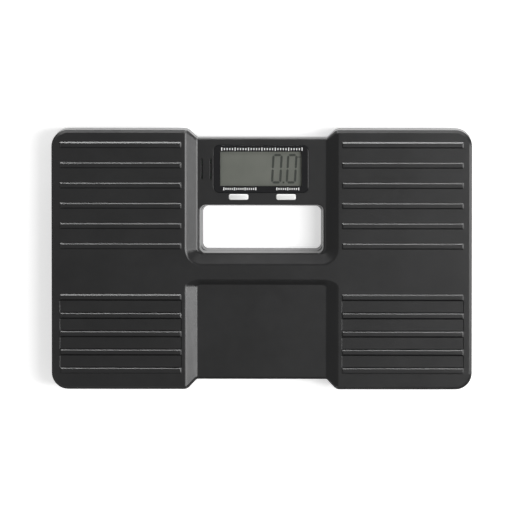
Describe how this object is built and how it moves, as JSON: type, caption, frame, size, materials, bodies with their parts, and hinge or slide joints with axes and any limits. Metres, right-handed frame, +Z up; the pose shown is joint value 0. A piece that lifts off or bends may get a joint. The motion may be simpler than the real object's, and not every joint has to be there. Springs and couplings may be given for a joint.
{
  "type": "portable platform scale",
  "caption": "Low electronic platform scale with ribbed foot pads, a sunken digital display, push buttons, a carrying hole and a sprung load cell above each foot.",
  "frame": {"origin": "on the floor, under the middle of the case", "axes": "+X to the user's right, +Y towards the display edge, +Z up, with the scale lying on its feet"},
  "size_m": [0.33, 0.204, 0.035],
  "materials": {
    "black_abs": "satin, fine moulded grain",
    "display_window": "clear acrylic, printed black round the view",
    "lcd_glass": "grey reflective liquid crystal",
    "white_abs": "satin",
    "elastomer": "matt",
    "circuit_board": "solder mask",
    "black_resin": "matt",
    "switch_plunger": "matt",
    "cell_steel": "stamped, nickel plated",
    "gauge_film": "amber film",
    "zinc_steel": "zinc plated",
    "nickel_steel": "nickel plated",
    "battery_wrap": "shrink sleeve",
    "rubber": "matt",
    "red_lead": "flat cable insulation",
    "black_lead": "flat cable insulation"
  },
  "bodies": {
    "housing": {"top_cover": "black_abs", "base_shell": "black_abs", "display_lens": "display_window", "lcd_glass": "lcd_glass", "lcd_frame": "white_abs", "lcd_connector_strips": "elastomer", "main_board": "circuit_board", "controller_chip": "black_resin", "buzzer": "black_resin", "unit_switch": "black_resin", "power_switch": "black_resin", "rear_left_load_cell": "cell_steel", "rear_right_load_cell": "cell_steel", "front_left_load_cell": "cell_steel", "front_right_load_cell": "cell_steel", "strain_gauges": "gauge_film", "load_cell_screws": "zinc_steel", "rear_left_lead": "red_lead", "rear_right_lead": "red_lead", "front_left_lead": "red_lead", "front_right_lead": "red_lead", "left_battery": "battery_wrap", "right_battery": "battery_wrap", "battery_springs": "nickel_steel", "battery_plates": "nickel_steel", "battery_lead": "black_lead", "board_screws": "zinc_steel", "case_screws": "zinc_steel"},
    "unit_button": {"unit_button": "white_abs", "unit_switch_plunger": "switch_plunger"},
    "power_button": {"power_button": "white_abs", "power_switch_plunger": "switch_plunger"},
    "battery_door": {"battery_door": "black_abs"},
    "rear_left_foot": {"rear_left_foot": "black_abs", "rear_left_foot_pad": "rubber"},
    "rear_right_foot": {"rear_right_foot": "black_abs", "rear_right_foot_pad": "rubber"},
    "front_left_foot": {"front_left_foot": "black_abs", "front_left_foot_pad": "rubber"},
    "front_right_foot": {"front_right_foot": "black_abs", "front_right_foot_pad": "rubber"}
  },
  "joints": [
    {"name": "unit_button_press", "type": "slide", "parent": "housing", "child": "unit_button", "axis": [0, 0, -1], "range_m": [0, 0.0005], "stiffness_N_per_m": 3000},
    {"name": "power_button_press", "type": "slide", "parent": "housing", "child": "power_button", "axis": [0, 0, -1], "range_m": [0, 0.0005], "stiffness_N_per_m": 3000},
    {"name": "rear_left_foot_flex", "type": "slide", "parent": "housing", "child": "rear_left_foot", "axis": [0, 0, 1], "range_m": [0, 0.0005], "stiffness_N_per_m": 740000, "deforming": ["rear_left_load_cell"]},
    {"name": "rear_right_foot_flex", "type": "slide", "parent": "housing", "child": "rear_right_foot", "axis": [0, 0, 1], "range_m": [0, 0.0005], "stiffness_N_per_m": 740000, "deforming": ["rear_right_load_cell"]},
    {"name": "front_left_foot_flex", "type": "slide", "parent": "housing", "child": "front_left_foot", "axis": [0, 0, 1], "range_m": [0, 0.0005], "stiffness_N_per_m": 740000, "deforming": ["front_left_load_cell"]},
    {"name": "front_right_foot_flex", "type": "slide", "parent": "housing", "child": "front_right_foot", "axis": [0, 0, 1], "range_m": [0, 0.0005], "stiffness_N_per_m": 740000, "deforming": ["front_right_load_cell"]},
    {"name": "battery_door_slide", "type": "slide", "parent": "housing", "child": "battery_door", "axis": [1, 0, 0], "range_m": [0, 0.012]}
  ]
}
